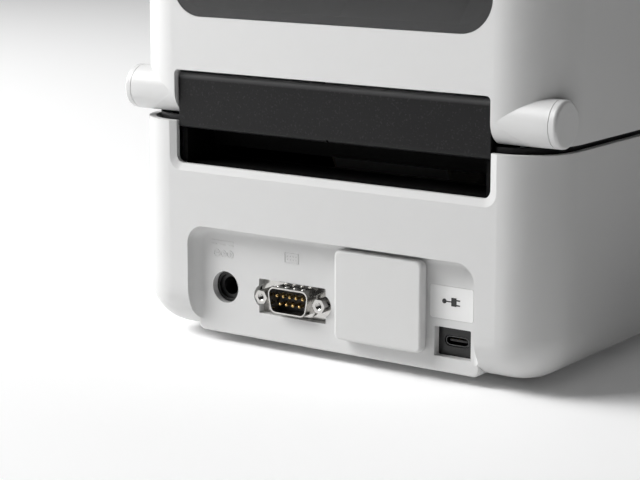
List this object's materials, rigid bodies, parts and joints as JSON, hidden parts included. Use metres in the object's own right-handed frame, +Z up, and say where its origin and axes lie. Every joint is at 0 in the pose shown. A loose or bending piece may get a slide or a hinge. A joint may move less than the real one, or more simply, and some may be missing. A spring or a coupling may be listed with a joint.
{
  "type": "thermal label printer",
  "caption": "Desktop thermal label printer: hinged clamshell cover with smoked roll window, rear fan-fold slot and connector bay, driven platen, sprung print head, sliding roll guides.",
  "frame": {"origin": "on the table, under the middle of the body", "axes": "+X the user's right, -Y the front with the label exit, +Y the rear with the connectors, +Z up"},
  "size_m": [0.1772, 0.224, 0.155],
  "materials": {
    "case_white": "fine moulded texture, satin",
    "cover_white": "fine moulded texture, satin",
    "blank_white": "fine moulded texture, satin",
    "chassis_black": "moulded, satin",
    "panel_black": "coarse spark texture",
    "window_smoke": "polished, smoked",
    "rubber_black": "matte",
    "platen_rubber": "ground smooth",
    "screw_steel": "zinc plated",
    "bright_steel": "ground",
    "nickel_shell": "nickel plated, satin",
    "gold_contact": "gold plated",
    "connector_black": "moulded",
    "label_vinyl": "printed film",
    "board_green": "solder mask",
    "chip_black": "epoxy, matte",
    "capacitor_can": "satin",
    "socket_cream": "moulded",
    "gear_white": "acetal",
    "motor_steel": "zinc plated",
    "control_gloss": "polished",
    "button_grey": "satin",
    "lamp_green": "diffusing",
    "label_paper": "smooth",
    "core_card": "plain",
    "guide_grey": "satin",
    "sensor_black": "moulded",
    "head_aluminium": "die cast, plain",
    "head_ceramic": "glazed",
    "spring_steel": "drawn"
  },
  "bodies": {
    "base": {"lower_case": "case_white", "bottom_plate": "chassis_black", "rubber_feet": "rubber_black", "case_screws": "screw_steel", "roll_chassis": "chassis_black", "slot_panel": "panel_black", "media_channel": "panel_black", "hinge_pins": "bright_steel", "power_jack": "connector_black", "power_jack_pin": "nickel_shell", "serial_shell": "nickel_shell", "serial_insert": "connector_black", "serial_pins": "gold_contact", "serial_jackscrews": "nickel_shell", "interface_blank": "blank_white", "usb_bezel": "connector_black", "usb_shell": "nickel_shell", "usb_tongue": "connector_black", "port_label": "label_vinyl", "main_board": "board_green", "board_chips": "chip_black", "board_capacitors": "capacitor_can", "board_sockets": "socket_cream", "platen_bushes": "gear_white", "idler_stud": "bright_steel", "stepper_motor": "motor_steel", "exit_trim": "chassis_black", "tear_bar": "bright_steel", "control_plate": "control_gloss", "status_lamps": "lamp_green", "key_board": "board_green", "key_switches": "chip_black", "sensor_rail": "bright_steel"},
    "platen": {"platen_shaft": "bright_steel", "platen_rubber": "platen_rubber", "platen_gear": "gear_white"},
    "idler": {"idler_gear": "gear_white"},
    "motor_rotor": {"motor_shaft": "bright_steel", "motor_pinion": "gold_contact"},
    "power_button": {"power_button": "button_grey"},
    "feed_button": {"feed_button": "button_grey"},
    "mode_button": {"mode_button": "button_grey"},
    "media_roll": {"label_roll": "label_paper", "roll_core": "core_card"},
    "left_guide": {"left_guide": "guide_grey"},
    "right_guide": {"right_guide": "guide_grey"},
    "guide_pinion": {"guide_pinion": "gear_white"},
    "media_sensor": {"media_sensor": "sensor_black"},
    "latch": {"latch_shaft": "bright_steel", "latch_hooks": "bright_steel", "latch_levers": "button_grey"},
    "cover": {"cover_shell": "cover_white", "barrel_caps": "cover_white", "cover_window": "window_smoke", "catch_pins": "bright_steel", "head_carrier": "chassis_black", "head_screws": "screw_steel", "head_springs": "spring_steel"},
    "print_head": {"head_sink": "head_aluminium", "head_ceramic": "head_ceramic"}
  },
  "joints": [
    {"name": "cover_hinge", "type": "hinge", "parent": "base", "child": "cover", "pos_m": [0, 0.104, 0.0903], "axis": [-1, 0, 0], "range_deg": [0, 95]},
    {"name": "head_float", "type": "slide", "parent": "cover", "child": "print_head", "axis": [0, 0, 1], "range_m": [0, 0.0012], "stiffness_N_per_m": 2000, "deforming": ["head_springs"]},
    {"name": "platen_spin", "type": "hinge", "parent": "base", "child": "platen", "pos_m": [0, -0.092, 0.073], "axis": [1, 0, 0], "continuous": true},
    {"name": "idler_spin", "type": "hinge", "parent": "base", "child": "idler", "pos_m": [0.0632, -0.08238, 0.06149], "axis": [1, 0, 0], "continuous": true},
    {"name": "motor_spin", "type": "hinge", "parent": "base", "child": "motor_rotor", "pos_m": [0.0687, -0.064, 0.048], "axis": [1, 0, 0], "continuous": true},
    {"name": "power_press", "type": "slide", "parent": "base", "child": "power_button", "axis": [0, 1, 0], "range_m": [0, 0.0008], "stiffness_N_per_m": 300},
    {"name": "feed_press", "type": "slide", "parent": "base", "child": "feed_button", "axis": [0, 1, 0], "range_m": [0, 0.0008], "stiffness_N_per_m": 300},
    {"name": "mode_press", "type": "slide", "parent": "base", "child": "mode_button", "axis": [0, 1, 0], "range_m": [0, 0.0008], "stiffness_N_per_m": 300},
    {"name": "roll_spin", "type": "hinge", "parent": "base", "child": "media_roll", "pos_m": [0, 0.026, 0.086], "axis": [1, 0, 0], "continuous": true},
    {"name": "right_guide_slide", "type": "slide", "parent": "base", "child": "right_guide", "axis": [1, 0, 0], "range_m": [0, 0.03]},
    {"name": "left_guide_slide", "type": "slide", "parent": "base", "child": "left_guide", "axis": [-1, 0, 0], "range_m": [0, 0.03]},
    {"name": "guide_pinion_spin", "type": "hinge", "parent": "base", "child": "guide_pinion", "pos_m": [0, 0.026, 0.0124], "axis": [0, 0, 1], "range_deg": [-360, 0]},
    {"name": "sensor_slide", "type": "slide", "parent": "base", "child": "media_sensor", "axis": [1, 0, 0], "range_m": [-0.045, 0.045]},
    {"name": "latch_turn", "type": "hinge", "parent": "base", "child": "latch", "pos_m": [0, -0.05, 0.072], "axis": [1, 0, 0], "range_deg": [-16, 0]}
  ],
  "couplings": [
    {"joint": "idler_spin", "follows": "platen_spin", "ratio": -1.5},
    {"joint": "motor_spin", "follows": "platen_spin", "ratio": 5.625},
    {"joint": "left_guide_slide", "follows": "right_guide_slide", "ratio": 1},
    {"joint": "guide_pinion_spin", "follows": "right_guide_slide", "rad_per_m": -208.33}
  ]
}
